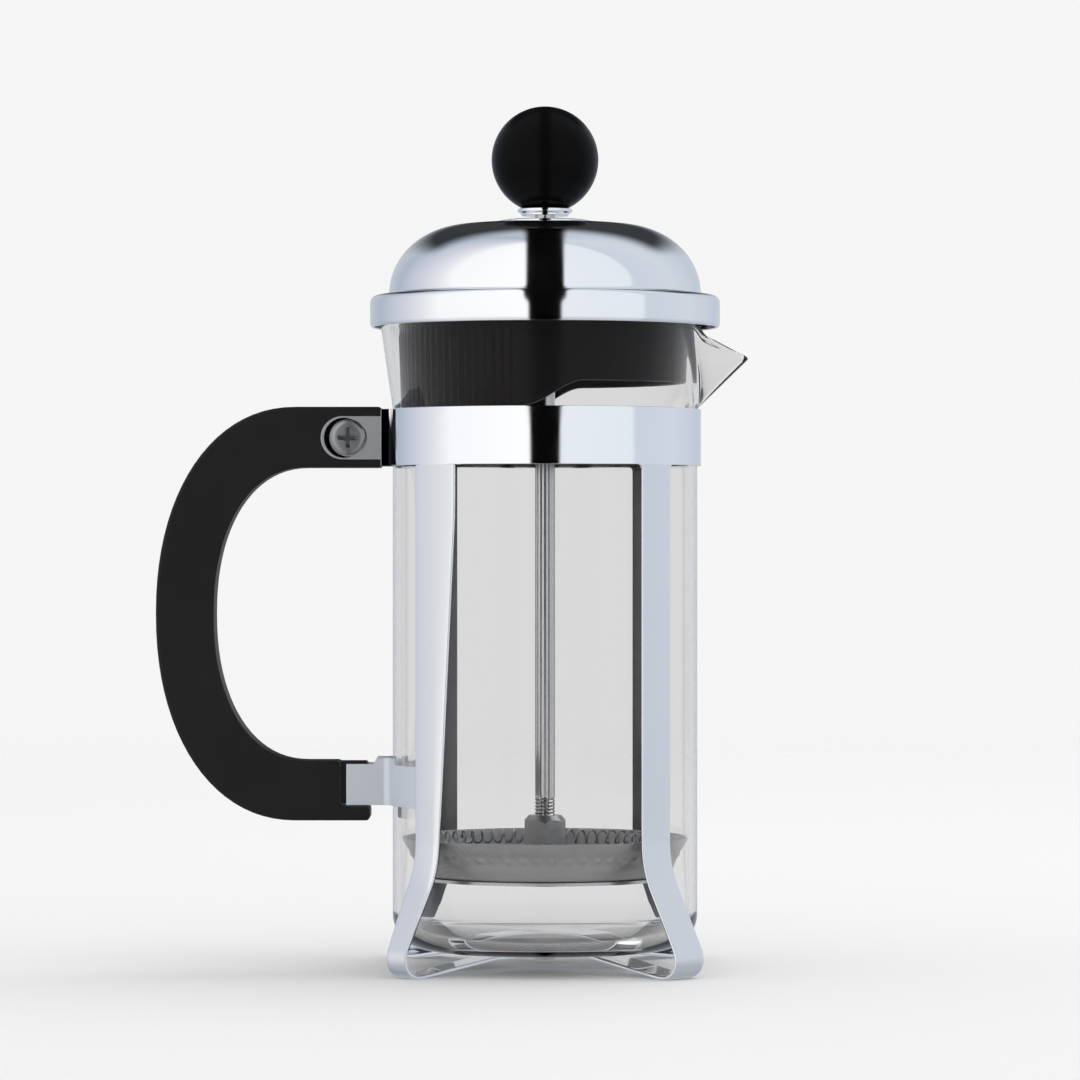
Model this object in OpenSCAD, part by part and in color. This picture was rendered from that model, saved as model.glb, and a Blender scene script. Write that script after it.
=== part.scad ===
// French press coffee maker, three-cup size.
// Origin: on the axis of the beaker, in the plane that the four feet stand on.
// +Z is up, +X points to the spout and -X to the handle. Millimetres.

/* [Beaker] */
// Outer radius of the glass beaker
glass_r = 35; // [32:0.5:38]
// Wall thickness of the glass
glass_wall = 1.8; // [1.2:0.1:2.5]
// Height of the beaker's underside
glass_z = 4.5; // [4.5:0.1:6]
// Height of the beaker's rim
rim_z = 148.3; // [146:0.1:148.4]
// Outer radius of the flared rim
rim_r = 37.7; // [37:0.1:38]
// How far the tip of the spout stands out from the axis
spout_x = 46.7; // [44:0.1:48]
// Height of the tip of the spout
spout_z = 139.8; // [138:0.1:142]

/* [Frame] */
// Thickness of the chromed sheet of band, legs and bracket
sheet = 0.8; // [0.6:0.1:1]
// Lower edge of the clamp band
band_z0 = 115.3; // [112:0.1:118]
// Upper edge of the clamp band
band_z1 = 128.3; // [126:0.1:128.3]
// Width of each leg strap
leg_w = 9; // [7:0.5:11]
// Radius at which the feet stand
foot_r = 40.6; // [38:0.2:44]

/* [Handle] */
// Thickness of the handle
handle_t = 13; // [11:0.5:15]
// Height of the top of the handle
handle_top = 128.8; // [126:0.1:130]
// Height of the bottom of the handle
handle_bottom = 34.1; // [33:0.1:36]
// Furthest reach of the handle from the axis
handle_reach = 89.1; // [84:0.1:94]
// Distance of the handle screw from the axis
screw_x = 45; // [44.5:0.1:46]
// Height of the handle screw
screw_z = 121.7; // [121:0.1:122.3]

/* [Lid] */
// Outer radius of the lid's brim
brim_r = 40.2; // [39.5:0.1:41]
// Lower edge of the lid's brim
brim_z0 = 147.1; // [146.5:0.1:147.5]
// Upper edge of the lid's brim
brim_z1 = 154.4; // [153.5:0.1:155]
// Radius of the foot of the dome
dome_r = 35.8; // [35:0.1:36.5]
// Height of the crown of the dome
crown_z = 171; // [170:0.1:172]

/* [Plunger] */
// Radius of the plunger rod
rod_r = 2.3; // [2:0.05:2.5]
// Radius of the ball knob
knob_r = 12.3; // [11:0.1:13.5]
// Height of the centre of the ball knob with the plunger down
knob_z = 185.7; // [185:0.1:188]
// Radius of the filter's upper edge
filter_r = 32.9; // [32:0.05:32.95]
// Height of the filter's upper edge with the plunger down
filter_top = 30.2; // [29:0.1:31]

/* [Hidden] */
$fn = 96;

eps = 0.01;                       // overlap that joins two bodies of one solid
cut = 1;                          // how far a cutter runs past a face
far = 120;                        // half size of a cutting block
seat_gap = 0.05;                  // gap between glass and metal
running_gap = 0.06;               // radial gap between rod and bush
turning_gap = 0.1;                // gap between the lid and the bush that it turns on
steps = 24;                       // points along a quarter or half of a formula curve

// Beaker
glass_inner_r = glass_r - glass_wall;
glass_base_t = 2.6;
glass_corner = 8;
inner_corner = glass_corner - glass_wall;
flare_z = 128.4;
flare_top_z = 147;
spout_tip_r = 1.4;
spout_half_w = 15;
spout_inner_tip_r = 0.7;
spout_rim_x = 37.4;
spout_rim_z = 146.6;

// Frame
frame_r0 = glass_r + seat_gap;
frame_r1 = frame_r0 + sheet;
leg_azimuths = [45, 135, 225, 315];
leg_half_angle = asin(leg_w / 2 / frame_r1);
window_fillet = 1;
splay_angle = 28;
foot_bend = 4.5;
foot_flat = 1.6;
strap_flat_r = 17;                // radius inside which the crossing straps are level
strap_flat_z = [2.8, 2.8 + sheet + 0.05];
rivet_r = 1.5;
rivet_head_r = 3.2;
rivet_head_t = 0.9;

// Ears of the band and the handle screw
ear_h = 9.9;
ear_end_x = 51.3;
ear_r = ear_h / 2;
pocket_gap = 0.1;
ear_y1 = handle_t / 2;
ear_y0 = ear_y1 - sheet;
screw_r = 2;
screw_hole_r = 2.2;
screw_head_r = 4.3;
screw_head_t = 2.2;
recess_w = 1.1;
recess_l = 4.4;
recess_d = 1.1;
nut_across_flats = 7;
nut_t = 3.2;

// Handle
handle_end_x = 37.3;
handle_outer_x = 57;
handle_inner_x = 54.4;
handle_outer_n = 2.15;
handle_inner_n = 2.2;
grip_inner_reach = 75.8;
grip_top_z = 114.9;
grip_bottom_z = 47.7;
lower_end_x = 46.8;
lip_x = 40.1;
lip_z = 37.4;
tongue_x = 40.7;
tongue_z0 = 37.9;
tongue_z1 = 47.5;

// Bracket
bracket_z0 = 37.6;
bracket_z1 = 47;
bracket_end_x = 45.5;
bracket_half_w = 5.4;
tongue_half_w = bracket_half_w - sheet - 0.1;

// Lid
lid_sheet = 0.8;
brim_round = 1.6;
shoulder_x = 18;
shoulder_z = 155;
shoulder_b = crown_z - 0.3 - shoulder_z;
insert_flange_z0 = rim_z + 0.2;
insert_flange_t = 1.6;
insert_flange_r = 39.1;
skirt_top_r = 33.5;
skirt_bottom_r = 32.6;
skirt_t = 1.5;
skirt_low_z = 124;
skirt_high_z = 134;
slope_x0 = -5;
slope_x1 = 6;
slope_z0 = 128.5;
slope_z1 = 133.2;

// Bush in the lid
bush_r = 4;
bush_flange_r = 10.8;
bush_flange_t = 1.1;
bush_flange_edge = 0.5;
bush_bottom_z = 142.5;
bush_nut_t = 4;
bush_nut_flats = 13;
bush_flange_z = crown_z + turning_gap;
bush_nut_z1 = insert_flange_z0 - turning_gap;

// Plunger
rod_bore_r = rod_r + running_gap;
knob_flat_z = 174.4;
rod_top_z = knob_z + 2;
collar_z0 = 172.8;
collar_r0 = 5.6;
collar_r1 = 6.3;
hub_across_flats = 10.2;
hub_top_z = 35.1;
hub_chamfer = 1.2;
stud_r = 2;
plate_t = 0.7;
filter_t = 0.35;
filter_bottom_r = 29;
filter_z = 21.5;
cross_z0 = filter_z - 0.85;
spiral_z0 = filter_z + filter_t + 0.05;
spiral_rim_r = 28.6;
spiral_rim_top = 26.6;
spring_r = 30.2;
spring_coil_r = 1.45;
spring_z = 28.6;
piston_nut_z0 = 18.8;
piston_nut_flats = 8;
hole_count = 8;
hole_r = 3.4;
hole_ring_r = 19;
slot_count = 4;

function half_superellipse(cx, cz, a, b, n, top_first) = [
    for (i = [0:2 * steps])
        let (t = (top_first ? i : 2 * steps - i) * 90 / steps)
        [cx - a * pow(abs(sin(t)), 2 / n), cz + b * sign(cos(t)) * pow(abs(cos(t)), 2 / n)]
];

function quarter_ellipse(cx, cz, a, b) = [
    for (i = [0:steps]) let (t = 90 * i / steps) [cx + a * cos(t), cz + b * sin(t)]
];

function arc(cx, cz, r, from, to, count) = [
    for (i = [0:count]) let (t = from + (to - from) * i / count) [cx + r * cos(t), cz + r * sin(t)]
];

module tube(r0, r1, z0, z1) {
    translate([0, 0, z0])
        difference() {
            cylinder(r = r1, h = z1 - z0);
            translate([0, 0, -cut]) cylinder(r = r0, h = z1 - z0 + 2 * cut);
        }
}

module hex_nut(flats, h, bore_r) {
    difference() {
        cylinder(r = flats / 2 / cos(30), h = h, $fn = 6);
        translate([0, 0, -cut]) cylinder(r = bore_r, h = h + 2 * cut);
    }
}

// A bar across a circle, for cutting a strap out of a turned shape
module across(azimuth, w) {
    rotate([0, 0, azimuth]) translate([-far, -w / 2, -far]) cube([2 * far, w, 2 * far]);
}

// ---- Frame ----

// Clamp band, open at the handle, with an ear on each side of the handle
module frame_band() {
    color([0.85, 0.87, 0.9]) difference() {
        union() {
            difference() {
                tube(frame_r0, frame_r1, band_z0, band_z1);
                translate([-2 * frame_r1, -ear_y0, band_z0 - cut])
                    cube([2 * frame_r1, 2 * ear_y0, band_z1 - band_z0 + 2 * cut]);
            }
            for (side = [-1, 1]) ear(side);
            for (azimuth = leg_azimuths) for (side = [-1, 1]) window_corner(azimuth, side);
        }
        rotate([90, 0, 0]) translate([-screw_x, screw_z, -far])
            cylinder(r = screw_hole_r, h = 2 * far);
    }
}

module ear(side) {
    root_x = sqrt(frame_r0 * frame_r0 - ear_y0 * ear_y0) + 0.3;
    y0 = side > 0 ? ear_y0 : -ear_y1;
    translate([-ear_end_x + ear_r, y0, screw_z - ear_r])
        cube([ear_end_x - ear_r - root_x, sheet, ear_h]);
    translate([-ear_end_x + ear_r, y0 + sheet, screw_z])
        rotate([90, 0, 0]) cylinder(r = ear_r, h = sheet);
}

// Rounded corner where a leg meets the band
module window_corner(azimuth, side) {
    intersection() {
        tube(frame_r0, frame_r1, band_z0 - window_fillet, band_z0 + eps);
        rotate([0, 0, azimuth]) difference() {
            translate([0, side > 0 ? leg_w / 2 : -leg_w / 2 - window_fillet, band_z0 - window_fillet])
                cube([far, window_fillet, window_fillet + cut]);
            translate([0, side * (leg_w / 2 + window_fillet), band_z0 - window_fillet])
                rotate([0, 90, 0]) cylinder(r = window_fillet, h = far);
        }
    }
}

// Side view of a strap from the axis to its top end: outer line, then inner line back
module strap_profile(level_z) {
    c = cos(splay_angle);
    s = sin(splay_angle);
    toe_x = foot_r + foot_flat / 2;
    splay_end = [toe_x + foot_bend * c, foot_bend + foot_bend * s];
    start_z = splay_end[1] + (splay_end[0] - frame_r1) * c / s;
    inner_bend = foot_bend - sheet;
    inner_end = [toe_x + inner_bend * c, foot_bend + inner_bend * s];
    inner_start_z = inner_end[1] + (inner_end[0] - frame_r0) * c / s;
    polygon(concat(
        [[0, level_z], [strap_flat_r, level_z], [foot_r - foot_flat / 2, 0]],
        arc(toe_x, foot_bend, foot_bend, -90, splay_angle, steps),
        [[frame_r1, start_z], [frame_r1, band_z0], [frame_r0, band_z0], [frame_r0, inner_start_z]],
        arc(toe_x, foot_bend, inner_bend, splay_angle, -90, steps),
        [[foot_r - foot_flat / 2, sheet], [strap_flat_r, level_z + sheet], [0, level_z + sheet]]
    ));
}

module leg_strap(azimuth, level_z) {
    color([0.83, 0.86, 0.9]) difference() {
        intersection() {
            rotate_extrude() strap_profile(level_z);
            across(azimuth, leg_w);
        }
        translate([0, 0, -cut]) cylinder(r = rivet_r + seat_gap, h = glass_z + 2 * cut);
    }
}

module leg_strap_a() {
    leg_strap(leg_azimuths[0], strap_flat_z[0]);
}

module leg_strap_b() {
    leg_strap(leg_azimuths[1], strap_flat_z[1]);
}

module base_rivet() {
    color([0.7, 0.72, 0.75]) rotate_extrude() polygon([
        [0, strap_flat_z[0] - rivet_head_t],
        [rivet_head_r - rivet_head_t, strap_flat_z[0] - rivet_head_t],
        [rivet_head_r, strap_flat_z[0] - 0.3],
        [rivet_head_r, strap_flat_z[0]],
        [rivet_r, strap_flat_z[0]],
        [rivet_r, strap_flat_z[1] + sheet - seat_gap],
        [0, strap_flat_z[1] + sheet - seat_gap]
    ]);
}

// Strip round the glass between the two legs on the handle's side, with two cheeks
// that make a socket for the handle's tongue
module handle_bracket() {
    reach_angle = 45 - leg_half_angle;
    root_x = sqrt(frame_r0 * frame_r0 - bracket_half_w * bracket_half_w) + 0.3;
    wedge_x = 2 * frame_r1 * cos(reach_angle);
    wedge_y = 2 * frame_r1 * sin(reach_angle);
    color([0.85, 0.87, 0.9]) translate([0, 0, bracket_z0])
        linear_extrude(height = bracket_z1 - bracket_z0) union() {
            intersection() {
                difference() {
                    circle(r = frame_r1);
                    circle(r = frame_r0);
                }
                polygon([[0, 0], [-wedge_x, wedge_y], [-2 * wedge_x, 0], [-wedge_x, -wedge_y]]);
            }
            for (y0 = [-bracket_half_w, bracket_half_w - sheet])
                translate([-bracket_end_x, y0]) square([bracket_end_x - root_x, sheet]);
        }
}

// ---- Handle ----

module handle_outline() {
    outer_b = (handle_top - handle_bottom) / 2;
    inner_b = (grip_top_z - grip_bottom_z) / 2;
    polygon(concat(
        [[-handle_end_x, handle_top]],
        half_superellipse(-handle_outer_x, (handle_top + handle_bottom) / 2,
            handle_reach - handle_outer_x, outer_b, handle_outer_n, true),
        [[-lip_x, handle_bottom], [-lip_x, lip_z], [-lower_end_x, lip_z], [-lower_end_x, grip_bottom_z]],
        half_superellipse(-handle_inner_x, (grip_top_z + grip_bottom_z) / 2,
            grip_inner_reach - handle_inner_x, inner_b, handle_inner_n, false),
        [[-handle_end_x, grip_top_z]]
    ));
}

// Recess in the side of the handle that an ear lies in
module ear_pocket(side) {
    depth = sheet + seat_gap;
    y0 = side > 0 ? handle_t / 2 - depth : -handle_t / 2 - cut;
    x1 = -ear_end_x + ear_r;
    translate([x1, y0, screw_z - ear_r - pocket_gap])
        cube([far, depth + cut, ear_h + 2 * pocket_gap]);
    translate([x1, y0 + depth + cut, screw_z])
        rotate([90, 0, 0]) cylinder(r = ear_r + pocket_gap, h = depth + cut);
}

module handle() {
    color([0.13, 0.13, 0.13]) difference() {
        union() {
            translate([0, handle_t / 2, 0]) rotate([90, 0, 0])
                linear_extrude(height = handle_t) handle_outline();
            translate([-lower_end_x - cut, -tongue_half_w, tongue_z0])
                cube([lower_end_x + cut - tongue_x, 2 * tongue_half_w, tongue_z1 - tongue_z0]);
        }
        for (side = [-1, 1]) ear_pocket(side);
        translate([-screw_x, 0, screw_z]) rotate([90, 0, 0])
            cylinder(r = screw_hole_r, h = far, center = true);
    }
}

// Pan head screw through both ears and the handle, head at the front
module handle_screw() {
    grip = 2 * ear_y1;
    color([0.5, 0.5, 0.52]) translate([-screw_x, -ear_y1 - seat_gap, screw_z])
        rotate([-90, 0, 0]) difference() {
            union() {
                rotate_extrude() polygon(concat(
                    [[0, 0], [screw_head_r, 0]],
                    quarter_ellipse(screw_head_r - 1.2, -screw_head_t + 1.2, 1.2, -1.2),
                    [[0, -screw_head_t]]
                ));
                cylinder(r = screw_r, h = grip + nut_t + 1);
            }
            for (turn = [0, 90]) rotate([0, 0, turn])
                translate([-recess_l / 2, -recess_w / 2, -screw_head_t - cut])
                    cube([recess_l, recess_w, recess_d + cut]);
        }
}

module handle_nut() {
    color([0.5, 0.5, 0.52]) translate([-screw_x, ear_y1 + seat_gap, screw_z])
        rotate([-90, 0, 0]) hex_nut(nut_across_flats, nut_t, screw_r + 0.02);
}

// ---- Glass ----

// Side view of a beaker's half, solid from the axis outwards
module beaker_half(r, z0, corner, top_r, top_z) {
    polygon(concat(
        [[0, z0]],
        arc(r - corner, z0 + corner, corner, -90, 0, steps),
        [[r, flare_z], [top_r, flare_top_z], [top_r, top_z], [0, top_z]]
    ));
}

// Beak from a slice inside the wall out to the tip
module spout_shape(inset, tip_r, half_w) {
    hull($fn = 32) {
        translate([glass_r - inset - 6, -half_w, flare_top_z + 2])
            cube([5, 2 * half_w, 0.1]);
        translate([glass_r - inset - 3, -1, flare_z + 1.4 * inset])
            cube([2.6, 2, 0.1]);
        translate([spout_x - tip_r - 1.6 * inset, 0, spout_z + 0.6 * inset]) sphere(r = tip_r);
        translate([spout_x - tip_r - 1.6 * inset, 0, flare_top_z + 2]) sphere(r = tip_r);
    }
}

module glass_beaker() {
    slope = atan2(spout_rim_z - spout_z - 1, spout_x - spout_rim_x);
    color([0.85, 0.9, 0.92, 0.35]) difference() {
        union() {
            rotate_extrude() beaker_half(glass_r, glass_z, glass_corner, rim_r, rim_z);
            spout_shape(0, spout_tip_r, spout_half_w);
        }
        rotate_extrude() beaker_half(glass_inner_r, glass_z + glass_base_t, inner_corner,
            rim_r - glass_wall, rim_z + cut);
        intersection() {
            spout_shape(glass_wall, spout_inner_tip_r, spout_half_w - 1.5);
            translate([0, -far, flare_z]) cube([far, 2 * far, far]);
        }
        translate([spout_rim_x, -far, spout_rim_z]) rotate([0, slope, 0])
            translate([-0.4, 0, 0]) cube([far, 2 * far, far]);
        translate([-far, -far, rim_z]) cube([2 * far, 2 * far, far]);
    }
}

// ---- Lid ----

function dome_line(inset) = concat(
    arc(brim_r - brim_round, brim_z1 - brim_round, brim_round - inset, 0, 90, 6),
    [[dome_r - inset, brim_z1 - inset]],
    quarter_ellipse(shoulder_x, shoulder_z, dome_r - shoulder_x - inset, shoulder_b - inset)
);

module lid_dome() {
    hole_r0 = bush_r + turning_gap;
    outer = dome_line(0);
    inner = dome_line(lid_sheet);
    color([0.87, 0.89, 0.92]) rotate_extrude() polygon(concat(
        [[brim_r - lid_sheet, brim_z0], [brim_r - 0.2, brim_z0], [brim_r, brim_z0 + 0.4]],
        outer,
        [[bush_flange_r, crown_z], [hole_r0, crown_z]],
        [[hole_r0, crown_z - lid_sheet], [bush_flange_r, crown_z - lid_sheet]],
        [for (i = [len(inner) - 1:-1:0]) inner[i]]
    ));
}

// Plastic lining: a disc that rests on the glass rim and a skirt, deep towards
// the handle and short towards the spout
module lid_insert() {
    top_z = insert_flange_z0 + insert_flange_t;
    color([0.14, 0.12, 0.13]) difference() {
        rotate_extrude() polygon([
            [bush_r + turning_gap, insert_flange_z0], [skirt_top_r - skirt_t, insert_flange_z0],
            [skirt_bottom_r - skirt_t, skirt_low_z], [skirt_bottom_r, skirt_low_z],
            [skirt_top_r, insert_flange_z0], [insert_flange_r, insert_flange_z0],
            [insert_flange_r, top_z], [bush_r + turning_gap, top_z]
        ]);
        translate([0, far, 0]) rotate([90, 0, 0]) linear_extrude(height = 2 * far) polygon([
            [slope_x0, 0], [slope_x0, slope_z0], [slope_x1, slope_z1],
            [slope_x1 + 6, skirt_high_z], [far, skirt_high_z], [far, 0]
        ]);
    }
}

module guide_bush() {
    color([0.8, 0.82, 0.85]) rotate_extrude() polygon([
        [rod_bore_r, bush_bottom_z], [bush_r, bush_bottom_z], [bush_r, bush_flange_z],
        [bush_flange_r, bush_flange_z], [bush_flange_r, bush_flange_z + bush_flange_edge],
        [rod_bore_r + 4, bush_flange_z + bush_flange_t], [rod_bore_r, bush_flange_z + bush_flange_t]
    ]);
}

module bush_nut() {
    color([0.6, 0.61, 0.63]) translate([0, 0, bush_nut_z1 - bush_nut_t])
        hex_nut(bush_nut_flats, bush_nut_t, bush_r + 0.02);
}

// ---- Plunger ----

module plunger_knob() {
    color([0.03, 0.03, 0.03]) difference() {
        translate([0, 0, knob_z]) sphere(r = knob_r);
        translate([-far, -far, knob_flat_z - 2 * far]) cube(2 * far);
        translate([0, 0, knob_flat_z - cut])
            cylinder(r = rod_r + 0.02, h = rod_top_z + seat_gap - knob_flat_z + cut);
    }
}

module knob_collar() {
    color([0.8, 0.82, 0.85]) rotate_extrude() polygon([
        [rod_r + 0.02, collar_z0], [collar_r0, collar_z0], [collar_r0, collar_z0 + 0.5],
        [collar_r1, collar_z0 + 1], [collar_r1, knob_flat_z], [rod_r + 0.02, knob_flat_z]
    ]);
}

module plunger_rod() {
    color([0.62, 0.63, 0.65]) union() {
        translate([0, 0, hub_top_z - 2]) cylinder(r = rod_r, h = rod_top_z - hub_top_z + 2);
        translate([0, 0, piston_nut_z0]) cylinder(r = stud_r, h = hub_top_z - piston_nut_z0);
    }
}

module hub_nut() {
    base_z = spiral_z0 + plate_t;
    corner_r = hub_across_flats / 2 / cos(30);
    color([0.55, 0.56, 0.58]) difference() {
        translate([0, 0, base_z]) intersection() {
            cylinder(r = corner_r, h = hub_top_z - base_z, $fn = 6);
            union() {
                cylinder(r = corner_r, h = hub_top_z - base_z - hub_chamfer);
                translate([0, 0, hub_top_z - base_z - hub_chamfer])
                    cylinder(r1 = corner_r, r2 = corner_r - 1.5 * hub_chamfer, h = hub_chamfer);
            }
        }
        translate([0, 0, base_z - cut]) cylinder(r = stud_r + 0.02, h = far);
        translate([0, 0, hub_top_z - 2]) cylinder(r = rod_r + 0.02, h = far);
    }
}

// Upper plate of the piston, with an upturned rim that carries the spring
module spiral_plate() {
    color([0.6, 0.61, 0.62]) difference() {
        rotate_extrude() polygon([
            [stud_r + 0.05, spiral_z0], [spiral_rim_r - 1.8, spiral_z0],
            [spiral_rim_r, spiral_rim_top], [spiral_rim_r - plate_t, spiral_rim_top],
            [spiral_rim_r - 1.8 - plate_t, spiral_z0 + plate_t], [stud_r + 0.05, spiral_z0 + plate_t]
        ]);
        for (i = [0:hole_count - 1]) rotate([0, 0, 360 * i / hole_count])
            translate([hole_ring_r, 0, spiral_z0 - cut]) cylinder(r = hole_r, h = plate_t + 2 * cut);
    }
}

// Coil spring bent to a ring, as the ring-shaped space that its turns fill
module spiral_spring() {
    color([0.66, 0.67, 0.68]) rotate_extrude()
        translate([spring_r, spring_z]) circle(r = spring_coil_r);
}

module filter_mesh() {
    color([0.52, 0.52, 0.53]) rotate_extrude() polygon([
        [stud_r + 0.05, filter_z], [filter_bottom_r, filter_z], [filter_r, filter_top],
        [filter_r - filter_t, filter_top], [filter_bottom_r - filter_t, filter_z + filter_t],
        [stud_r + 0.05, filter_z + filter_t]
    ]);
}

// Lower plate of the piston: a ring and a hub joined by four spokes
module cross_plate() {
    ring_w = 4;
    hub_r = 8;
    spoke_w = 9;
    color([0.6, 0.61, 0.62]) translate([0, 0, cross_z0]) difference() {
        cylinder(r = filter_bottom_r, h = plate_t);
        difference() {
            tube(hub_r, filter_bottom_r - ring_w, -cut, plate_t + cut);
            for (i = [0:slot_count / 2 - 1]) across(i * 360 / slot_count, spoke_w);
        }
        translate([0, 0, -cut]) cylinder(r = stud_r + 0.05, h = plate_t + 2 * cut);
    }
}

module piston_nut() {
    color([0.55, 0.56, 0.58]) translate([0, 0, piston_nut_z0])
        hex_nut(piston_nut_flats, cross_z0 - piston_nut_z0, stud_r + 0.02);
}

frame_band();
leg_strap_a();
leg_strap_b();
base_rivet();
handle_bracket();
handle();
handle_screw();
handle_nut();
glass_beaker();
lid_dome();
lid_insert();
guide_bush();
bush_nut();
plunger_knob();
knob_collar();
plunger_rod();
hub_nut();
spiral_plate();
spiral_spring();
filter_mesh();
cross_plate();
piston_nut();
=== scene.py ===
import math

import bmesh
import bpy
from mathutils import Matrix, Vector


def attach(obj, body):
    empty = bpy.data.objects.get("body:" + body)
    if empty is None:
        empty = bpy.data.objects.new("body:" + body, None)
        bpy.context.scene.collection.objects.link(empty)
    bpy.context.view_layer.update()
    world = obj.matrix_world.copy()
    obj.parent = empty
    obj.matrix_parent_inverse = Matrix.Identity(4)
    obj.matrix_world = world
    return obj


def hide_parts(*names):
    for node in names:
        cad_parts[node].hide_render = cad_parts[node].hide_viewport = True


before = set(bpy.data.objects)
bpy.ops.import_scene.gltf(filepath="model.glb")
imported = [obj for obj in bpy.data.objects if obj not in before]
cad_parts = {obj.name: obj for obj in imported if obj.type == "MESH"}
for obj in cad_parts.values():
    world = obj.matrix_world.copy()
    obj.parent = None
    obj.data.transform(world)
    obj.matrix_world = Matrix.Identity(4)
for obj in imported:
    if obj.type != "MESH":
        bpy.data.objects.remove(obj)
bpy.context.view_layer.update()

# ---- Driving dimensions, in millimetres ----

MM = 0.001

GLASS_R = 35.0
GLASS_WALL = 1.8
GLASS_Z = 4.5
GLASS_BASE = 2.6
GLASS_CORNER = 8.0
FLARE_Z = 128.4
FLARE_TOP_Z = 147.0
RIM_R = 37.7
RIM_Z = 148.3
SPOUT_X = 46.7
SPOUT_Z = 139.8

SHEET = 0.8
FRAME_R = GLASS_R + 0.05 + SHEET / 2
BAND_Z = (115.3, 128.3)
LEG_W = 9.0
LEG_AZIMUTHS = (45.0, 135.0)
LEAN_AZIMUTH = 225.0            # the leg at the front left, which tapers downwards
LEAN = (-3.0, 2.1)              # how far its inner edge is moved, at the bottom and at the top
LEAN_Z = (28.0, 105.0)          # heights of that bottom and top
LEAN_OUTER = 1.5                # how far its outer edge is moved
SPLAY = math.radians(28.0)
FOOT_R = 40.6
FOOT_BEND = 4.5
FOOT_FLAT = 1.6
CROSSING_R = 17.0
CROSSING_Z = (2.8, 3.65)

HANDLE_T = 13.0
HANDLE_Z = (34.1, 128.8)
GRIP_Z = (47.7, 114.9)
HANDLE_REACH = 89.1
GRIP_REACH = 75.8
HANDLE_END_X = -37.3
SOCKET_X = -46.8                # where the handle's lower end stops above its lip
SCREW = Vector((-45.0, 0.0, 121.7))
SCREW_HOLE_R = 2.2
EAR_END_X = -51.3
EAR_ROOT_X = -37.6
EAR_R = 4.95
DISH_X = -46.0
DISH_R = 4.6
DISH_DEPTH = 0.45

BRIM_R = 40.2
BRIM_Z = (147.1, 154.4)
DOME_R = 35.8
CROWN_Z = 171.0
LINING_Z = (148.5, 150.1)

ROD_R = 2.3
STUD_R = 2.0
PISTON_FOOT_Z = 18.8
PLATE_T = 0.7
KNOB_R = 12.3
KNOB_Z = 185.7
COLLAR_Z = (172.8, 174.4)
HUB_TOP = 35.1
FILTER_R = (29.0, 32.9)
FILTER_Z = (21.5, 30.2)

SMOOTH_BELOW = math.radians(35.0)
OVERLAP = 1.0                   # how far a cutter runs past a face


# ---- Geometry helpers ----

def fillet(corners, closed=True, count=5):
    """Corners as (x, y, radius); each is replaced by an arc of that radius."""
    points = []
    last = len(corners) - 1
    for i, (x, y, radius) in enumerate(corners):
        here = Vector((x, y))
        if radius <= 0 or (not closed and i in (0, last)):
            points.append((x, y))
            continue
        back = Vector(corners[i - 1][:2]) - here
        ahead = Vector(corners[(i + 1) % len(corners)][:2]) - here
        half = back.angle(ahead) / 2
        reach = min(radius / math.tan(half), 0.49 * back.length, 0.49 * ahead.length)
        back.normalize()
        ahead.normalize()
        centre = here + (back + ahead).normalized() * (reach / math.cos(half))
        start = here + back * reach - centre
        turn = start.angle_signed(here + ahead * reach - centre)
        first = math.atan2(start.y, start.x)
        for k in range(count + 1):
            angle = first - turn * k / count
            points.append((centre.x + start.length * math.cos(angle),
                           centre.y + start.length * math.sin(angle)))
    return points


def heading(angle):
    """Unit vector in plan."""
    return Vector((math.cos(angle), math.sin(angle)))


def arc(cx, cy, radius, start, end, count):
    """Points of an arc between two angles in degrees."""
    angles = [math.radians(start + (end - start) * i / count) for i in range(count + 1)]
    return [(cx + radius * math.cos(a), cy + radius * math.sin(a)) for a in angles]


def smoothstep(low, high, value):
    t = min(1.0, max(0.0, (value - low) / (high - low)))
    return t * t * (3 - 2 * t)


def turned(profile, segments, looped=True, centre=(0.0, 0.0)):
    """Vertices and faces of a shape turned about Z. The profile is its (radius, z) points,
    or a function of the angle; a point at radius 0 becomes one vertex on the axis."""
    verts, rings = [], []
    for s in range(segments):
        angle = 2 * math.pi * s / segments
        ring = []
        for j, (radius, z) in enumerate(profile(angle) if callable(profile) else profile):
            if radius < 1e-6 and s > 0:
                ring.append(rings[0][j])
                continue
            ring.append(len(verts))
            verts.append((centre[0] + radius * math.cos(angle),
                          centre[1] + radius * math.sin(angle), z))
        rings.append(ring)
    faces = []
    count = len(rings[0])
    for s in range(segments):
        here, there = rings[s], rings[(s + 1) % segments]
        for j in range(count if looped else count - 1):
            k = (j + 1) % count
            corners = [here[j], there[j], there[k], here[k]]
            unique = list(dict.fromkeys(corners))
            if len(unique) > 2:
                faces.append(unique)
    return verts, faces


def swept(rings, capped=True, looped=False):
    """Vertices and faces through a list of rings that have the same number of points."""
    size = len(rings[0])
    verts = [p for ring in rings for p in ring]
    faces = []
    for i in range(len(rings) if looped else len(rings) - 1):
        a, b = i * size, ((i + 1) % len(rings)) * size
        for j in range(size):
            k = (j + 1) % size
            faces.append([a + j, a + k, b + k, b + j])
    if capped and not looped:
        faces.append(list(range(size)))
        faces.append(list(range(len(verts) - size, len(verts))))
    return verts, faces


def joined(*shells):
    verts, faces = [], []
    for shell_verts, shell_faces in shells:
        shift = len(verts)
        verts += shell_verts
        faces += [[shift + i for i in face] for face in shell_faces]
    return verts, faces


def extruded(outline, y0, y1):
    """A plate between two planes across Y, from an outline in X and Z."""
    return swept([[(x, y0, z) for x, z in outline], [(x, y1, z) for x, z in outline]])


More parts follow.
